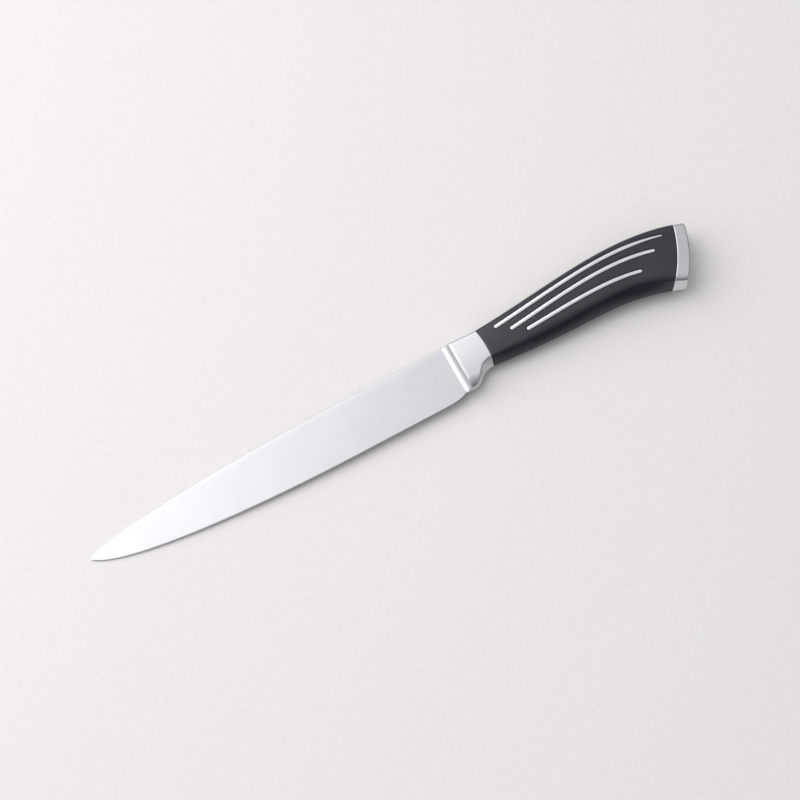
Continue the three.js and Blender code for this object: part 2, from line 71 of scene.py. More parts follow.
# Bolster
BOLSTER_LENGTH = 17.7  # heel to collar, where the grip starts
TOE_REACH = 1.7  # how far the front fillet reaches onto the blade
FACE_START = 2  # where the front fillet ends in the flat side
TOE_WALL = 0.06  # thickness of the fillet's thin front end
BEAK_LENGTH = 4  # flat bottom of the beak behind the heel
BEAK_THICKNESS = 4.6
BEAK_RADIUS = 1  # rounding of the beak's lower edges
BEAK_TOP = -9  # height where the side starts to thin towards the beak
BEAK_PULL = 5.5  # how the underside leaves the beak and reaches the collar
COLLAR_PULL = 8.2
SHOULDER = 1  # depth of the slot that takes the blade's heel
TENON_HEIGHT = 14
TENON_CENTRE = 2  # middle of the tenon above the long axis
WEB = 1.5  # steel left between tenon and tang
FRONT_EDGE_RADIUS = 0.35  # rounding between the front fillet and the side
COLLAR_EDGE_RADIUS = 0.4  # rounding of the collar's rear rim

# Handle
HANDLE_LENGTH = 120.8  # collar to the upper corner of the butt
COLLAR_TOP = 11.9
COLLAR_BOTTOM = -7.6
COLLAR_BULGE = 0.9  # the collar seam bows towards the butt
BUTT_TOP = 11
BUTT_BOTTOM = -18.8
BUTT_RAKE = 15.5  # the lower corner of the butt lies this far ahead of the upper one
BUTT_BULGE = 2.1
TOP_FRONT_PULL = (45, 3.4)  # how the arch leaves the collar and reaches the butt
TOP_REAR_PULL = (-36, 13.6)
BOTTOM_FRONT_PULL = (59, -6)
BOTTOM_REAR_PULL = (-35, 13.7)
COLLAR_THICKNESS = 11.2
BUTT_THICKNESS = 17.2
COLLAR_RADIUS = 1.2  # rounding of the handle's long edges at the collar
BUTT_TOP_RADIUS = 2.4  # and at the butt
BUTT_BOTTOM_RADIUS = 4.5
TOP_SWELL = 1.2  # extra rounding where the grip is held, above
BOTTOM_SWELL = 3.2  # and below
SWELL_FALL = 2  # the larger, the nearer to the collar is the fullest rounding
ROUNDEST = 0.9  # largest rounding as a share of the half thickness
KEEL_SHARE = 0.12  # breadth of the underside's rounded keel as a share of the thickness
KEEL_FRONT_DROP = 3.6  # height of the side's lower edge above the keel, at the collar
KEEL_REAR_DROP = 6.9  # and what it would grow to at the butt
KEEL_FADES = 0.75  # share of the handle's length where the underside starts to flatten instead
KEEL_LEFT = 0.42  # share of the height that is left at the butt
CROWN = 0.22  # the sides by the collar fall by this much from their fullest line to their upper edge
CROWN_CENTRE = 2.4  # height of that line
CROWN_RUN = 80  # length behind the collar over which the crown fades
GRIP_EDGE_RADIUS = 0.25  # rounding of the grip's end rims

# End cap
CAP_TOP_LENGTH = 6  # along the upper outline
CAP_BOTTOM_LENGTH = 7.2  # along the lower outline
CAP_EDGE_RADIUS = 0.8  # rounding of the cap's rear rim
CAP_FRONT_RADIUS = 0.35  # rounding of the cap's front rim
CAP_WALL = 2.4  # steel left behind the tang's end

# Tang
TANG_WIDTH = 9
TANG_THICKNESS = 3
TANG_SEAT = 6  # depth in the bolster
SOCKET_RADIUS = 0.2  # rounding of the corners of sockets and slots
TANG_HEIGHT = 0.5  # middle of the tang as a share of the grip's depth
ANCHOR_DIAMETER = 4.4  # holes that the grip's posts fill
ANCHOR_PLACES = (0.3, 0.62)  # shares of the grip's length
POST_ROOT = 0.5  # the posts start this far inside the grip's walls

# Inlay strips: their ends are shares of the grip's length.
# Their heights at the front end, between and at the rear end are shares of the grip's depth.
INLAYS = {
    "upper": {"start": 0.09, "end": 0.948, "heights": (0.802, 0.852, 0.848), "end_width": 0.9},
    "middle": {"start": 0.155, "end": 0.907, "heights": (0.57, 0.655, 0.639), "end_width": 1.7},
    "lower": {"start": 0.228, "end": 0.837, "heights": (0.379, 0.408, 0.371), "end_width": 1.7},
}
INLAY_WIDTH = 1.9
INLAY_DEPTH = 1.7  # groove in the grip
INLAY_CROWN = 0.16  # height of the strip's domed top
INLAY_TURN = math.radians(80)  # how far the dome turns over from the strip's side
INLAY_RECESS = 0.06  # strip below the side of the grip
INLAY_TAPER_START = 0.8  # share of the strip's length where its rear end starts to narrow
GROOVE_RIM = 0.05  # easing of the groove's rim
GROOVE_GAP = 0.42  # between a strip and the walls of its groove
PEG_DIAMETER = 1.3
PEG_LENGTH = 1.2  # below the strip
PEG_PLACES = (0.2, 0.8)  # shares of the strip's length

# Smoothness
BLADE_STEPS = 200
FACE_STEPS = 10
FILLET_STEPS = 20
BEAK_STEPS = 44
GRIP_STEPS = 150
CAP_STEPS = 10
CORNER_STEPS = 9
SIDE_STEPS = 14
KEEL_STEPS = 10
EDGE_STEPS = 5
STRIP_STEPS = 90
END_STEPS = 8
PATH_STEPS = 400
SOCKET_STRIDE = 3  # steps of the tang's line between two rings of its socket
PEG_SEGMENTS = 24
SMOOTH_ANGLE = math.radians(33)  # edges that bend more than this stay crisp

# Camera, at the photograph's angle and in metres
VIEW_AZIMUTH = math.radians(-28.51)
VIEW_ELEVATION = math.radians(71)
VIEW_ANGLE = math.radians(24)
VIEW_DISTANCE = 0.9425
VIEW_TARGET = Vector((0.00083, 0.00087, 0))


# Curves


def lerp(a, b, share):
    return a + (b - a) * share


def bezier(*controls):
    share = np.linspace(0, 1, PATH_STEPS)[:, None]
    points = [np.array([control], float) for control in controls]
    while len(points) > 1:
        points = [lerp(a, b, share) for a, b in zip(points, points[1:])]
    return points[0]


class Path:
    """A line in the knife's side view, read by shares of its length."""

    def __init__(self, *stretches):
        self.points = np.concatenate([np.array(stretch, float) for stretch in stretches])
        steps = np.linalg.norm(np.diff(self.points, axis=0), axis=1)
        self.run = np.concatenate([[0], np.cumsum(steps)])
        self.length = self.run[-1]

    def at(self, share):
        run = share * self.length
        return np.array([np.interp(run, self.run, self.points[:, axis]) for axis in (0, 1)])


def unit(vector):
    return vector / np.linalg.norm(vector)


# Pose

TIP_NEARNESS = 0.001  # corners of the blade within this of its foremost one are at the tip


def knife_pose():
    """Where the solids lie: the tang's flat side gives the tilt, and the blade's tip the place."""
    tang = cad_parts["tang"]
    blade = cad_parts["blade"]
    flat = max(tang.data.polygons, key=lambda face: face.area * face.normal.z)
    up = tang.matrix_world.to_3x3() @ flat.normal
    tilt = Matrix.Rotation(math.atan2(up.x, up.z), 4, "Y")
    level = tilt.inverted() @ blade.matrix_world
    points = np.array([level @ vertex.co for vertex in blade.data.vertices])
    foremost = points[:, 0].min()
    tip = points[points[:, 0] < foremost + TIP_NEARNESS * MM]
    middle = Vector((tip.min(axis=0) + tip.max(axis=0)) / 2)
    return tilt @ Matrix.Translation(middle + Vector((BLADE_LENGTH * MM, 0, 0)))


KNIFE = knife_pose()


# Meshes


def add_object(name, points, faces):
    mesh = bpy.data.meshes.new(name)
    mesh.from_pydata((np.array(points) * MM).tolist(), [], faces)
    obj = bpy.data.objects.new(name, mesh)
    bpy.context.scene.collection.objects.link(obj)
    obj.matrix_world = KNIFE
    return obj


def shade(obj, sharp_rows=(), around=1):
    """Smooth shading that stays crisp at corners and along the given rows of a loft."""
    rows = {row for near in sharp_rows for row in (near, around - 1 - near)}
    work = bmesh.new()
    work.from_mesh(obj.data)
    for face in work.faces:
        face.smooth = True
    for edge in work.edges:
        corner = len(edge.link_faces) != 2 or edge.calc_face_angle(0) > SMOOTH_ANGLE
        row = edge.verts[0].index % around
        on_row = row in rows and edge.verts[1].index % around == row
        edge.smooth = not (corner or on_row)
    work.to_mesh(obj.data)
    work.free()


def loft(name, rings, closed=False, sharp_rows=()):
    """A closed skin over rings, each given as its near half from the top down."""
    near = len(rings[0])
    around = 2 * near
    points = []
    for ring in rings:
        points += [tuple(p) for p in ring]
        points += [(x, y, -z) for x, y, z in reversed(ring)]
    faces = []
    for r in range(len(rings) if closed else len(rings) - 1):
        a = r * around
        b = (r + 1) % len(rings) * around
        for j in range(around):
            k = (j + 1) % around
            faces.append((a + j, a + k, b + k, b + j))
    if not closed:
        last = (len(rings) - 1) * around
        for k in range(near - 1):
            other = around - 1 - k
            faces.append((k, other, other - 1, k + 1))
            faces.append((last + k, last + k + 1, last + other - 1, last + other))
    obj = add_object(name, points, faces)
    shade(obj, sharp_rows, around)
    return obj


def combine(obj, tool, operation):
    """Cuts the tool out of the object or joins it to it, and removes the tool."""
    change = obj.modifiers.new("combine", "BOOLEAN")
    change.operation = operation
    change.solver = "EXACT"
    change.object = tool
    graph = bpy.context.evaluated_depsgraph_get()
    mesh = bpy.data.meshes.new_from_object(obj.evaluated_get(graph))
    obj.modifiers.clear()
    obj.data = mesh
    bpy.data.objects.remove(tool)


def merge(name, objects):
    """One object with the shells of several, which don't touch each other."""
    work = bmesh.new()
    for obj in objects:
        work.from_mesh(obj.data)
        bpy.data.objects.remove(obj)
    mesh = bpy.data.meshes.new(name)
    work.to_mesh(mesh)
    work.free()
    obj = bpy.data.objects.new(name, mesh)
    bpy.context.scene.collection.objects.link(obj)
    obj.matrix_world = KNIFE
    return obj


def quarter(steps):
    return np.linspace(0, math.pi / 2, steps + 1)


def near_half(height, half_at, top_radius, bottom_radius, drop):
    """The near half of a rounded section from its top down: heights above its bottom, half thicknesses.

    The side ends in a rounded edge at the height of drop.
    From there the underside falls to its keel, and stops half a step from the middle plane.
    """
    top = min(top_radius, ROUNDEST * half_at(height))
    bottom = min(bottom_radius, ROUNDEST * half_at(0))
    keel = KEEL_SHARE * half_at(drop)
    full_turn = math.atan2(half_at(drop) - keel, drop)
    side_end = drop + bottom * math.tan(full_turn / 2)
    points = []
    for turn in quarter(CORNER_STEPS):
        s = height - top * (1 - math.cos(turn))
        points.append((s, half_at(s) - top * (1 - math.sin(turn))))
    for share in np.linspace(0, 1, SIDE_STEPS + 1)[1:-1]:
        s = lerp(height - top, side_end, share)
        points.append((s, half_at(s)))
    for turn in np.linspace(0, full_turn, CORNER_STEPS + 1):
        s = side_end - bottom * math.sin(turn)
        points.append((s, half_at(s) - bottom * (1 - math.cos(turn))))
    edge_s, edge_z = points[-1]
    bend = min(keel, edge_z / 2)
    for share in (np.arange(KEEL_STEPS) + 1) / (KEEL_STEPS + 0.5):
        left = 1 - share
        points.append((edge_s * left**2, edge_z * left**2 + 2 * bend * share * left))
    return points


def section(top, bottom, bulge, half_at, top_radius, bottom_radius, drop=0, inset=0):
    """A ring across the knife, whose line from bottom to top may lean and bow towards the butt."""
    top = np.array(top, float)
    bottom = np.array(bottom, float)
    full = np.linalg.norm(top - bottom)
    along = unit(top - bottom)
    rearward = np.array([along[1], -along[0]])

    def place(s):
        off_centre = 2 * (s + inset) / full - 1
        return bottom + along * (s + inset) + rearward * bulge * (1 - off_centre**2)

    def thick(s):
        return half_at(*place(s)) - inset

    half = near_half(full - 2 * inset, thick, top_radius - inset, bottom_radius - inset, drop)
    return [(*place(s), z) for s, z in half]


# Blade

heel_depth = EDGE_DEPTH - HEEL_LIFT
seat_start = -TOE_REACH - SEAM
seat_low = -heel_depth + BEVEL_WIDTH
seat_high = SPINE_HEIGHT - SPINE_CHAMFER
tenon_low = TENON_CENTRE - TENON_HEIGHT / 2
tenon_high = TENON_CENTRE + TENON_HEIGHT / 2
tenon_end = BOLSTER_LENGTH - TANG_SEAT - WEB


def blade_half(x, y):
    per_height = (SPINE_THICKNESS - EDGE_THICKNESS) / 2 / (SPINE_HEIGHT + EDGE_DEPTH)
    at_axis = SPINE_THICKNESS / 2 - per_height * SPINE_HEIGHT
    per_length = (at_axis - TIP_THICKNESS / 2) / BLADE_LENGTH
    return at_axis + per_length * x + per_height * y


def spine_path():
    tip = np.array([-BLADE_LENGTH, TIP_HEIGHT / 2])
    straight_end = (-SPINE_STRAIGHT, SPINE_HEIGHT)
    eased = (-SPINE_STRAIGHT - SPINE_PULL, SPINE_HEIGHT)
    return Path([(seat_start, SPINE_HEIGHT)], bezier(straight_end, eased, tip + TIP_SPINE_PULL, tip))


def edge_path():
    tip = np.array([-BLADE_LENGTH, -TIP_HEIGHT / 2])
    heel = bezier((seat_start, -heel_depth), (-HEEL_CORNER, -EDGE_DEPTH), (-HEEL_RUN, -EDGE_DEPTH))
    straight_end = (-EDGE_STRAIGHT, -EDGE_DEPTH)
    eased = (-EDGE_STRAIGHT - EDGE_PULL, -EDGE_DEPTH)
    return Path(heel, bezier(straight_end, eased, tip + TIP_EDGE_PULL, tip))


def blade_ring(spine, edge, thinner=0, bevel_width=BEVEL_WIDTH):
    """One section: rounded spine corner, flat face, cutting bevel."""
    height = np.linalg.norm(edge - spine)
    down = unit(edge - spine)
    thickness = 2 * blade_half(*spine)
    corner = min(SPINE_CHAMFER, TRIM_SHARE * height, TRIM_SHARE * thickness)
    bevel = min(bevel_width, TRIM_SHARE * height)
    ring = []
    for turn in quarter(CORNER_STEPS):
        p = spine + down * corner * (1 - math.cos(turn))
        ring.append((*p, blade_half(*p) - thinner - corner * (1 - math.sin(turn))))
    for share in np.linspace(0, 1, FACE_STEPS + 1)[1:]:
        p = lerp(spine + down * corner, edge - down * bevel, share)
        ring.append((*p, blade_half(*p) - thinner))
    ring.append((*edge, BEVEL_END / 2))
    return ring


def make_blade():
    spine = spine_path()
    edge = edge_path()
    rings = [blade_ring(spine.at(share), edge.at(share)) for share in np.linspace(1, 0, BLADE_STEPS + 1)]
    for x, low, high in (
        (seat_start, seat_low, seat_high),
        (SHOULDER, seat_low, seat_high),
        (SHOULDER, tenon_low, tenon_high),
        (tenon_end, tenon_low, tenon_high),
    ):
        rings.append(blade_ring(np.array([x, high]), np.array([x, low]), SEAT_STEP, SPINE_CHAMFER))
    return loft("blade_ground", rings, sharp_rows=[CORNER_STEPS + FACE_STEPS])


# Handle outline

collar_x = BOLSTER_LENGTH
butt_x = collar_x + HANDLE_LENGTH


def outline(start, start_pull, end, end_pull):
    return Path(bezier(start, np.add(start, start_pull), np.add(end, end_pull), end))


top_line = outline((collar_x, COLLAR_TOP), TOP_FRONT_PULL, (butt_x, BUTT_TOP), TOP_REAR_PULL)
bottom_line = outline(
    (collar_x, COLLAR_BOTTOM),
    BOTTOM_FRONT_PULL,
    (butt_x - BUTT_RAKE, BUTT_BOTTOM),
    BOTTOM_REAR_PULL,
)


def side_half(x, y):
    """Half thickness: sides that widen evenly towards the butt, and are crowned by the collar."""
    behind = np.clip((x - collar_x) / CROWN_RUN, 0, 1)
    off_centre = (y - CROWN_CENTRE) / (COLLAR_TOP - CROWN_CENTRE)
    flat = lerp(COLLAR_THICKNESS, BUTT_THICKNESS, (x - collar_x) / HANDLE_LENGTH) / 2
    return flat - CROWN * (1 - behind) ** 2 * off_centre**2


def swell(share):
    fullest = 1 / (SWELL_FALL + 1)
    return share * (1 - share) ** SWELL_FALL / (fullest * (1 - fullest) ** SWELL_FALL)


def keel_drop(share):
    """How far the underside falls from the side's lower edge to its keel."""
    faded = max((share - KEEL_FADES) / (1 - KEEL_FADES), 0)
    return lerp(KEEL_FRONT_DROP, KEEL_REAR_DROP, share) * (1 - (1 - KEEL_LEFT) * faded**2)


def handle_ring(top_back, bottom_back, inset=0):
    """A ring at given distances ahead of the butt along the handle's two outlines."""
    share = 1 - top_back / top_line.length
    extra = swell(share)
    return section(
        top_line.at(share),
        bottom_line.at(1 - bottom_back / bottom_line.length),
        lerp(COLLAR_BULGE, BUTT_BULGE, share),
        side_half,
        lerp(COLLAR_RADIUS, BUTT_TOP_RADIUS, share) + TOP_SWELL * extra,
        lerp(COLLAR_RADIUS, BUTT_BOTTOM_RADIUS, share) + BOTTOM_SWELL * extra,
        keel_drop(share),
        inset,
    )


def grip_point(share, height):
    """A point of the grip's side view, at a share of its length and of its depth."""
    top_back = lerp(top_line.length, CAP_TOP_LENGTH, share)
    bottom_back = lerp(bottom_line.length, CAP_BOTTOM_LENGTH, share)
    top = top_line.at(1 - top_back / top_line.length)
    bottom = bottom_line.at(1 - bottom_back / bottom_line.length)
    return lerp(bottom, top, height)


# Tang socket

tang_line = [grip_point(share, TANG_HEIGHT) for share in np.linspace(0, 1, STRIP_STEPS + 1)]
tang_front = unit(tang_line[0] - tang_line[1])
tang_rear = unit(tang_line[-1] - tang_line[-2])


def socket_ring(centre, ahead):
    across = np.array([-ahead[1], ahead[0]]) * (TANG_WIDTH / 2 + CLEARANCE)
    half = TANG_THICKNESS / 2 + CLEARANCE
    return section(centre + across, centre - across, 0, lambda x, y: half, SOCKET_RADIUS, SOCKET_RADIUS)


# Bolster


def bolster_half(x, y):
    side = side_half(x, y)
    down = np.clip((BEAK_TOP - y) / (BEAK_TOP + heel_depth), 0, 1)
    behind = np.clip((x - BEAK_LENGTH) / (collar_x - BEAK_LENGTH), 0, 1)
    eased = behind * behind * (3 - 2 * behind)
    return side - (side - BEAK_THICKNESS / 2) * down * down * (1 - eased)


def slot_half(gap):
    return lambda x, y: blade_half(x, y) + gap


def bolster_ring(x, bottom_y, half, bulge=0, top_radius=COLLAR_RADIUS, drop=0, inset=0):
    behind = (x + TOE_REACH) / (collar_x + TOE_REACH)
    top = (x, lerp(SPINE_HEIGHT, COLLAR_TOP, behind))
    bottom_radius = lerp(BEAK_RADIUS, COLLAR_RADIUS, behind)
    return section(top, (x, bottom_y), bulge, half, top_radius, bottom_radius, drop, inset)


def bolster_bore():
    """The tenon's hole and the slot that takes the heel, from the inside out."""
    rings = []
    for x, low, high, gap in (
        (tenon_end + CLEARANCE, tenon_low - CLEARANCE, tenon_high + CLEARANCE, CLEARANCE),
        (SHOULDER + CLEARANCE, tenon_low - CLEARANCE, tenon_high + CLEARANCE, CLEARANCE),
        (SHOULDER + CLEARANCE, seat_low - SEAM, seat_high + SEAM, SEAM - SEAT_STEP),
        (-TOE_REACH, seat_low - SEAM, seat_high + SEAM, SEAM - SEAT_STEP),
    ):
        rings.append(section((x, high), (x, low), 0, slot_half(gap), SOCKET_RADIUS, SOCKET_RADIUS))
    return rings


def fillet_half(rise):
    """Half thickness of the front fillet, which rises from the blade's face to the side."""
    toe = slot_half(TOE_WALL)
    return lambda x, y: lerp(toe(x, y), bolster_half(x, y) - FRONT_EDGE_RADIUS, rise)


def front_edge_half(turn):
    """Half thickness where the fillet's edge is rounded into the side."""
    return lambda x, y: bolster_half(x, y) - FRONT_EDGE_RADIUS * (1 - math.sin(turn))


def make_bolster():
    rings = bolster_bore()
    for turn in quarter(FILLET_STEPS):
        rise = 1 - math.cos(turn)
        x = lerp(-TOE_REACH, FACE_START, math.sin(turn))
        top_radius = lerp(SPINE_CHAMFER, COLLAR_RADIUS, rise)
        rings.append(bolster_ring(x, -heel_depth, fillet_half(rise), 0, top_radius))
    for turn in quarter(EDGE_STEPS)[1:]:
        x = FACE_START + FRONT_EDGE_RADIUS * (1 - math.cos(turn))
        rings.append(bolster_ring(x, -heel_depth, front_edge_half(turn)))
    underside = bezier(
        (BEAK_LENGTH, -heel_depth),
        (BEAK_LENGTH + BEAK_PULL, -heel_depth),
        (collar_x - COLLAR_PULL, COLLAR_BOTTOM),
        (collar_x, COLLAR_BOTTOM),
    )
    last_x = collar_x - COLLAR_EDGE_RADIUS
    for k in np.linspace(0, PATH_STEPS - 1, BEAK_STEPS + 1).astype(int):
        x, y = underside[k]
        share = k / (PATH_STEPS - 1)
        drop = KEEL_FRONT_DROP * share * (2 - share)
        bulge = COLLAR_BULGE * (x - BEAK_LENGTH) / (collar_x - BEAK_LENGTH)
        if x < last_x:
            rings.append(bolster_ring(x, y, bolster_half, bulge, drop=drop))
    for turn in quarter(EDGE_STEPS):
        x = last_x + COLLAR_EDGE_RADIUS * math.sin(turn)
        inset = COLLAR_EDGE_RADIUS * (1 - math.cos(turn))
        rings.append(
            bolster_ring(x, COLLAR_BOTTOM, bolster_half, COLLAR_BULGE, drop=KEEL_FRONT_DROP, inset=inset)
        )
    mouth = tang_line[0] - tang_front * COLLAR_BULGE
    rings.append(socket_ring(mouth, -tang_front))
    rings.append(socket_ring(tang_line[0] + tang_front * (TANG_SEAT + CLEARANCE), -tang_front))
    return loft("bolster_forged", rings)


# Inlay strips


def inlay_line(inlay):
    """Centre points, sideways directions and half widths along a strip."""
    first, between, final = inlay["heights"]
    shares = np.linspace(0, 1, STRIP_STEPS + 1)
    centre = []
    for share in shares:
        bow = 2 * between - (first + final) / 2
        height = lerp(lerp(first, bow, share), lerp(bow, final, share), share)
        centre.append(grip_point(lerp(inlay["start"], inlay["end"], share), height))
    centre = np.array(centre)
    ahead = np.gradient(centre, axis=0)
    ahead /= np.linalg.norm(ahead, axis=1)[:, None]
    narrowed = np.clip((shares - INLAY_TAPER_START) / (1 - INLAY_TAPER_START), 0, 1)
    return centre, ahead, lerp(INLAY_WIDTH, inlay["end_width"], narrowed) / 2


def strip_outline(line, inset_share, grow):
    """One half of the strip's round-ended outline, as offsets to either side of its centre line."""
    centre, ahead, half_width = line
    half_width = half_width * (1 - inset_share) + grow
    turns = (np.arange(END_STEPS) + 0.5) / END_STEPS * math.pi / 2
    points = []
    for turn in turns:
        reach = half_width[0] * math.cos(turn)
        points.append((centre[0] - ahead[0] * reach, ahead[0], half_width[0] * math.sin(turn)))
    points += list(zip(centre, ahead, half_width))
    for turn in reversed(turns):
        reach = half_width[-1] * math.cos(turn)
        points.append((centre[-1] + ahead[-1] * reach, ahead[-1], half_width[-1] * math.sin(turn)))
    return points


def strip_solid(name, line, levels, side):
    """A strip built up from outlines at rising levels above the grip's side.

    Each level has its height, the share by which it is narrower, and the width added on each side.
    """
    points = []
    for level, inset_share, grow in levels:
        half = strip_outline(line, inset_share, grow)
        right = [p - np.array([-a[1], a[0]]) * w for p, a, w in half]
        left = [p + np.array([-a[1], a[0]]) * w for p, a, w in half]
        for x, y in right + left[::-1]:
            points.append((x, y, side * (side_half(x, y) + level)))
    around = len(points) // len(levels)
    faces = []
    for r in range(len(levels) - 1):
        for j in range(around):
            k = (j + 1) % around
            faces.append((r * around + j, r * around + k, (r + 1) * around + k, (r + 1) * around + j))
    top = (len(levels) - 1) * around
    for k in range(around // 2 - 1):
        other = around - 1 - k
        faces.append((k, other, other - 1, k + 1))
        faces.append((top + k, top + k + 1, top + other - 1, top + other))
    if side < 0:
        faces = [face[::-1] for face in faces]
    return add_object(name, points, faces)


def cylinder(x, y, radius, ends):
    """A round bar across the knife, between two distances from its middle plane."""
    low, high = sorted(ends)
    work = bmesh.new()
    bmesh.ops.create_cone(
        work,
        cap_ends=True,
        segments=PEG_SEGMENTS,
        radius1=radius * MM,
        radius2=radius * MM,
        depth=(high - low) * MM,
    )
    bmesh.ops.translate(work, verts=work.verts, vec=Vector((x, y, (low + high) / 2)) * MM)
    obj = add_object("bar", [], [])
    work.to_mesh(obj.data)
    work.free()
    return obj


def pegs(line, radius, low, high, side):
    """Round pegs under a strip, between two levels below the grip's side."""
    made = []
    for place in PEG_PLACES:
        x, y = line[0][round(place * STRIP_STEPS)]
        ends = [side * (side_half(x, y) + level) for level in (low, high)]
        made.append(cylinder(x, y, radius, ends))
    return merge("pegs", made)


strip_floor = CLEARANCE - INLAY_DEPTH


def make_inlay(name, inlay, side):
    line = inlay_line(inlay)
    crown_base = -INLAY_RECESS - INLAY_CROWN
    levels = [(strip_floor, 0, 0)]
    for turn in np.linspace(0, 1, CORNER_STEPS + 1) * INLAY_TURN:
        levels.append((crown_base + INLAY_CROWN * math.sin(turn), 1 - math.cos(turn), 0))
    strip = strip_solid(name, line, levels, side)
    lowest = strip_floor - PEG_LENGTH
    combine(strip, pegs(line, PEG_DIAMETER / 2, lowest, strip_floor + INLAY_CROWN, side), "UNION")
    shade(strip)
    return strip


def inlay_cutter(inlay, side):
    """The groove with its eased rim, and the blind holes below it."""
    line = inlay_line(inlay)
    levels = [
        (-INLAY_DEPTH, 0, GROOVE_GAP),
        (-GROOVE_RIM, 0, GROOVE_GAP),
        (GROOVE_RIM, 0, GROOVE_GAP + 2 * GROOVE_RIM),
    ]
    groove = strip_solid("groove", line, levels, side)
    lowest = -INLAY_DEPTH - PEG_LENGTH
    combine(groove, pegs(line, PEG_DIAMETER / 2 + CLEARANCE, lowest, -INLAY_DEPTH / 2, side), "UNION")
    return groove


# Grip


def anchor_posts():
    """Posts that fill the tang's anchor holes and are one with both sides of the grip."""
    reach = TANG_THICKNESS / 2 + CLEARANCE + POST_ROOT
    made = []
    for place in ANCHOR_PLACES:
        x, y = grip_point(place, TANG_HEIGHT)
        made.append(cylinder(x, y, ANCHOR_DIAMETER / 2 - CLEARANCE, (-reach, reach)))
    return merge("posts", made)


def make_grip():
    top_start = top_line.length - SEAM
    bottom_start = bottom_line.length - SEAM
    rings = []
    for turn in quarter(EDGE_STEPS)[:-1]:
        inset = GRIP_EDGE_RADIUS * (1 - math.sin(turn))
        ease = GRIP_EDGE_RADIUS * (1 - math.cos(turn))
        rings.append(handle_ring(top_start - ease, bottom_start - ease, inset))
    for share in np.linspace(0, 1, GRIP_STEPS + 1):
        top_back = lerp(top_start - GRIP_EDGE_RADIUS, CAP_TOP_LENGTH + GRIP_EDGE_RADIUS, share)
        bottom_back = lerp(bottom_start - GRIP_EDGE_RADIUS, CAP_BOTTOM_LENGTH + GRIP_EDGE_RADIUS, share)
        rings.append(handle_ring(top_back, bottom_back))
    for turn in quarter(EDGE_STEPS)[1:]:
        ease = GRIP_EDGE_RADIUS * (1 - math.sin(turn))
        inset = GRIP_EDGE_RADIUS * (1 - math.cos(turn))
        rings.append(handle_ring(CAP_TOP_LENGTH + ease, CAP_BOTTOM_LENGTH + ease, inset))
    rear_mouth = tang_line[-1] + tang_rear * BUTT_BULGE
    front_mouth = tang_line[0] - tang_front * (COLLAR_BULGE + SEAM)
    rings.append(socket_ring(rear_mouth, tang_rear))
    for k in range(STRIP_STEPS - SOCKET_STRIDE, SOCKET_STRIDE, -SOCKET_STRIDE):
        rings.append(socket_ring(tang_line[k], unit(tang_line[k + 1] - tang_line[k - 1])))
    rings.append(socket_ring(front_mouth, -tang_front))
    grip = loft("grip_moulded", rings, closed=True)
    cutters = [inlay_cutter(inlay, side) for inlay in INLAYS.values() for side in (1, -1)]
    combine(grip, merge("cutters", cutters), "DIFFERENCE")
    combine(grip, anchor_posts(), "UNION")
    shade(grip)
    return grip


# End cap


def make_cap():
    top_start = CAP_TOP_LENGTH - SEAM
    bottom_start = CAP_BOTTOM_LENGTH - SEAM
    bottom_of_socket = tang_line[-1] + tang_rear * (BUTT_BULGE + CAP_TOP_LENGTH - CAP_WALL + CLEARANCE)
    rings = [
        socket_ring(bottom_of_socket, tang_rear),
        socket_ring(tang_line[-1] + tang_rear * (BUTT_BULGE + SEAM), tang_rear),
    ]
    for turn in quarter(EDGE_STEPS):
        ease = CAP_FRONT_RADIUS * (1 - math.cos(turn))
        inset = CAP_FRONT_RADIUS * (1 - math.sin(turn))
        rings.append(handle_ring(top_start - ease, bottom_start - ease, inset))
    for share in np.linspace(0, 1, CAP_STEPS + 1)[1:]:
        top_back = lerp(top_start - CAP_FRONT_RADIUS, CAP_EDGE_RADIUS, share)
        bottom_back = lerp(bottom_start - CAP_FRONT_RADIUS, CAP_EDGE_RADIUS, share)
        rings.append(handle_ring(top_back, bottom_back))
    for turn in quarter(CORNER_STEPS)[1:]:
        back = CAP_EDGE_RADIUS * (1 - math.sin(turn))
        rings.append(handle_ring(back, back, CAP_EDGE_RADIUS * (1 - math.cos(turn))))
    return loft("cap_brushed", rings)


# Materials

# Noise cells per metre along x, y and z
LINES_ACROSS = (5200, 130, 5200)
LINES_ALONG = (130, 5200, 5200)
FINE_SATIN = (2600, 1500, 2600)
STEEL_CLOUDS = (60, 60, 60)
STEEL_SCRATCHES = (900, 9000, 900)
PLASTIC_GRAIN = (5200, 5200, 5200)
PLASTIC_PATCHES = (45, 70, 70)
PAPER_GRAIN = (420, 420, 420)

# Steel: the darkest and brightest tone, the least and greatest roughness, and the lines' depth in metres
STEELS = {
    "blade_steel": {
        "tones": ((0.57, 0.57, 0.592), (0.625, 0.625, 0.648)),
        "roughness": (0.34, 0.42),
        "grain": LINES_ACROSS,
        "line_depth": 0.000012,
    },
    "bolster_steel": {
        "tones": ((0.57, 0.57, 0.595), (0.625, 0.625, 0.65)),
        "roughness": (0.3, 0.37),
        "grain": FINE_SATIN,
        "line_depth": 0.000008,
    },
    "cap_steel": {
        "tones": ((0.6, 0.6, 0.622), (0.69, 0.69, 0.715)),
        "roughness": (0.13, 0.19),
        "grain": LINES_ACROSS,
        "line_depth": 0.00002,
    },
    "inlay_steel": {
        "tones": ((0.75, 0.75, 0.77), (0.87, 0.87, 0.89)),
        "roughness": (0.18, 0.26),
        "grain": LINES_ALONG,
        "line_depth": 0.000008,
    },
    "tang_steel": {
        "tones": ((0.32, 0.33, 0.35), (0.45, 0.46, 0.48)),
        "roughness": (0.4, 0.55),
        "grain": FINE_SATIN,
        "line_depth": 0.00002,
    },
}
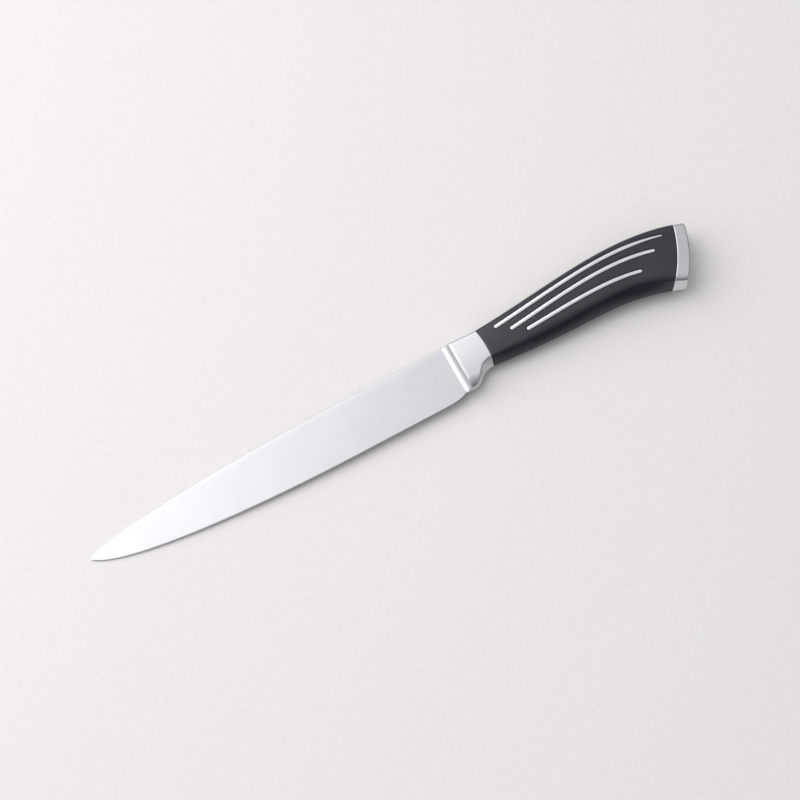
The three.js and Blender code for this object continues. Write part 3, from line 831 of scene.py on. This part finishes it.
LINE_SHARE = 0.6  # share of the lines in the steel's tone, the rest is clouding
SCRATCH_START = 0.62  # noise level where a scratch starts
SCRATCH_FULL = 0.72
SCRATCH_ROUGHNESS = 0.05  # added in a scratch
STEEL_BUMP = 0.35

# Plastic
PLASTIC_TONES = ((0.009, 0.009, 0.021), (0.014, 0.014, 0.027))
PLASTIC_ROUGHNESS = (0.2, 0.28)
PATCH_ROUGHNESS = (-0.03, 0.04)  # added by patches, from worn to fresh
PLASTIC_IOR = 1.6
PLASTIC_DEPTH = 0.00003  # of the grain, in metres
PLASTIC_BUMP = 0.25

# Floor
PAPER_TONES = ((0.88, 0.858, 0.838), (0.92, 0.898, 0.878))
PAPER_ROUGHNESS = 0.75
PAPER_DEPTH = 0.0003  # of the grain, in metres
PAPER_BUMP = 0.3


class Material:
    """A small helper that adds and links shader nodes."""

    def __init__(self, name):
        self.made = bpy.data.materials.new(name)
        self.made.use_nodes = True
        self.nodes = self.made.node_tree.nodes
        self.links = self.made.node_tree.links
        self.shader = self.nodes["Principled BSDF"]
        self.place = self.add("ShaderNodeTexCoord").outputs["Object"]

    def add(self, kind, **settings):
        node = self.nodes.new(kind)
        for name, value in settings.items():
            setattr(node, name, value)
        return node

    def link(self, source, target):
        self.links.new(source, target)

    def noise(self, stretch, detail=2.0, roughness=0.5):
        """Noise whose grains per metre are given along x, y and z."""
        scale = self.add("ShaderNodeVectorMath", operation="MULTIPLY")
        scale.inputs[1].default_value = stretch
        self.link(self.place, scale.inputs[0])
        node = self.add("ShaderNodeTexNoise")
        node.inputs["Scale"].default_value = 1.0
        node.inputs["Detail"].default_value = detail
        node.inputs["Roughness"].default_value = roughness
        self.link(scale.outputs["Vector"], node.inputs["Vector"])
        return node.outputs["Fac"]

    def spread(self, source, low, high, source_low=0.3, source_high=0.7):
        node = self.add("ShaderNodeMapRange")
        node.inputs["From Min"].default_value = source_low
        node.inputs["From Max"].default_value = source_high
        node.inputs["To Min"].default_value = low
        node.inputs["To Max"].default_value = high
        self.link(source, node.inputs["Value"])
        return node.outputs["Result"]

    def blend(self, share, first, second):
        node = self.add("ShaderNodeMix", data_type="RGBA")
        node.inputs["A"].default_value = (*first, 1)
        node.inputs["B"].default_value = (*second, 1)
        self.link(share, node.inputs["Factor"])
        return node.outputs["Result"]

    def math(self, operation, first, second):
        node = self.add("ShaderNodeMath", operation=operation)
        for value, socket in ((first, node.inputs[0]), (second, node.inputs[1])):
            if isinstance(value, (int, float)):
                socket.default_value = value
            else:
                self.link(value, socket)
        return node.outputs["Value"]

    def bump(self, height, distance, strength):
        node = self.add("ShaderNodeBump")
        node.inputs["Strength"].default_value = strength
        node.inputs["Distance"].default_value = distance
        self.link(height, node.inputs["Height"])
        self.link(node.outputs["Normal"], self.shader.inputs["Normal"])

    def set(self, **values):
        for name, value in values.items():
            socket = self.shader.inputs[name.replace("_", " ")]
            if isinstance(value, (int, float)):
                socket.default_value = value
            else:
                self.link(value, socket)


def steel(name, tones, roughness, grain, line_depth):
    """Ground steel: fine lines by the grain's stretch, over faint broad clouding."""
    m = Material(name)
    lines = m.noise(grain, detail=3.0, roughness=0.6)
    clouds = m.noise(STEEL_CLOUDS)
    tone = m.math("ADD", m.spread(lines, 0.0, LINE_SHARE), m.spread(clouds, 0.0, 1 - LINE_SHARE))
    scratches = m.noise(STEEL_SCRATCHES, detail=1.0)
    marks = m.spread(scratches, 0.0, SCRATCH_ROUGHNESS, SCRATCH_START, SCRATCH_FULL)
    rough = m.math("ADD", m.spread(lines, *roughness), marks)
    m.set(Metallic=1.0, Base_Color=m.blend(tone, *tones), Roughness=rough)
    m.bump(lines, line_depth, STEEL_BUMP)
    return m.made


def plastic():
    """Moulded black plastic with a fine matte grain and worn, smoother patches."""
    m = Material("grip_plastic")
    grain = m.noise(PLASTIC_GRAIN)
    patches = m.noise(PLASTIC_PATCHES, detail=3.0)
    tone = m.spread(patches, 0.0, 1.0)
    rough = m.math("ADD", m.spread(grain, *PLASTIC_ROUGHNESS), m.spread(patches, *PATCH_ROUGHNESS))
    m.set(Base_Color=m.blend(tone, *PLASTIC_TONES), Roughness=rough, IOR=PLASTIC_IOR)
    m.bump(grain, PLASTIC_DEPTH, PLASTIC_BUMP)
    return m.made


def floor_material():
    """Pale paper with a faint grain."""
    m = Material("floor_paper")
    grain = m.noise(PAPER_GRAIN, detail=4.0, roughness=0.6)
    m.set(Base_Color=m.blend(m.spread(grain, 0, 1), *PAPER_TONES), Roughness=PAPER_ROUGHNESS)
    m.bump(grain, PAPER_DEPTH, PAPER_BUMP)
    return m.made


# Assembly

finishes = {name: steel(name, **look) for name, look in STEELS.items()}
finishes["grip_plastic"] = plastic()


def dress(obj, slot):
    obj.data.materials.clear()
    obj.data.materials.append(finishes[slot])


def finish_piece(obj, node, slot):
    obj.data.transform(obj.matrix_world)
    obj.matrix_world = Matrix.Identity(4)
    dress(obj, slot)
    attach(obj, "root")
    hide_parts(node)


finish_piece(make_blade(), "blade", "blade_steel")
finish_piece(make_bolster(), "bolster", "bolster_steel")
finish_piece(make_grip(), "grip", "grip_plastic")
finish_piece(make_cap(), "end_cap", "cap_steel")
for place, inlay in INLAYS.items():
    for side_name, side in (("near", 1), ("far", -1)):
        strip = make_inlay(f"strip_{side_name}_{place}", inlay, side)
        finish_piece(strip, f"inlay_{side_name}_{place}", "inlay_steel")
dress(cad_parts["tang"], "tang_steel")


# Floor, light and camera, in metres and watts

FLOOR_HALF = 6.0
LIGHT_SIZE = 1.4
LIGHT_PLACE = Vector((-0.5, 0.6, 0.93))
LIGHT_TARGET = Vector((0, 0, 0))
LIGHT_POWER = 9.2
CARD_SIZE = 0.7  # a small light from the tip's side, for the bolster's front
CARD_PLACE = Vector((-1.1, 0.12, 0.32))
CARD_POWER = 0.45
ROOM_SIDE = (-0.55, 0.45, 0.7)  # where the room is brightest
ROOM_LOW = 0.07
ROOM_HIGH = 0.85
ROOM_DARKEST = -0.5  # nearness to that side where the room is darkest
ROOM_TINT = (0.985, 0.985, 1.0, 1)


def make_floor():
    corners = [(-1, -1), (1, -1), (1, 1), (-1, 1)]
    mesh = bpy.data.meshes.new("floor")
    mesh.from_pydata([(x * FLOOR_HALF, y * FLOOR_HALF, 0) for x, y in corners], [], [(0, 1, 2, 3)])
    floor = bpy.data.objects.new("floor", mesh)
    bpy.context.scene.collection.objects.link(floor)
    floor.data.materials.append(floor_material())


def make_light(name, size, power, place):
    """A square soft light that faces the knife."""
    lamp = bpy.data.lights.new(name, "AREA")
    lamp.shape = "SQUARE"
    lamp.size = size
    lamp.energy = power
    light = bpy.data.objects.new(name, lamp)
    light.location = place
    light.rotation_euler = (LIGHT_TARGET - place).to_track_quat("-Z", "Y").to_euler()
    bpy.context.scene.collection.objects.link(light)


def make_room():
    """A room that is bright overhead and to one side, and dark on the other."""
    room = bpy.data.worlds.new("room")
    room.use_nodes = True
    nodes = room.node_tree.nodes
    links = room.node_tree.links
    direction = nodes.new("ShaderNodeTexCoord")
    nearness = nodes.new("ShaderNodeVectorMath")
    nearness.operation = "DOT_PRODUCT"
    nearness.inputs[1].default_value = ROOM_SIDE
    rise = nodes.new("ShaderNodeMapRange")
    rise.interpolation_type = "SMOOTHSTEP"
    rise.inputs["From Min"].default_value = ROOM_DARKEST
    rise.inputs["To Min"].default_value = ROOM_LOW
    rise.inputs["To Max"].default_value = ROOM_HIGH
    glow = nodes["Background"]
    glow.inputs["Color"].default_value = ROOM_TINT
    links.new(direction.outputs["Generated"], nearness.inputs[0])
    links.new(nearness.outputs["Value"], rise.inputs["Value"])
    links.new(rise.outputs["Result"], glow.inputs["Strength"])
    bpy.context.scene.world = room


def make_camera():
    flat = math.cos(VIEW_ELEVATION)
    back = Vector((
        math.sin(VIEW_AZIMUTH) * flat,
        -math.cos(VIEW_AZIMUTH) * flat,
        math.sin(VIEW_ELEVATION),
    ))
    lens = bpy.data.cameras.new("camera")
    lens.angle = VIEW_ANGLE
    camera = bpy.data.objects.new("camera", lens)
    camera.location = VIEW_TARGET + back * VIEW_DISTANCE
    camera.rotation_euler = (-back).to_track_quat("-Z", "Y").to_euler()
    bpy.context.scene.collection.objects.link(camera)
    bpy.context.scene.camera = camera


make_floor()
make_light("softbox", LIGHT_SIZE, LIGHT_POWER, LIGHT_PLACE)
make_light("card", CARD_SIZE, CARD_POWER, CARD_PLACE)
make_room()
make_camera()
bpy.context.scene.view_settings.view_transform = "Standard"
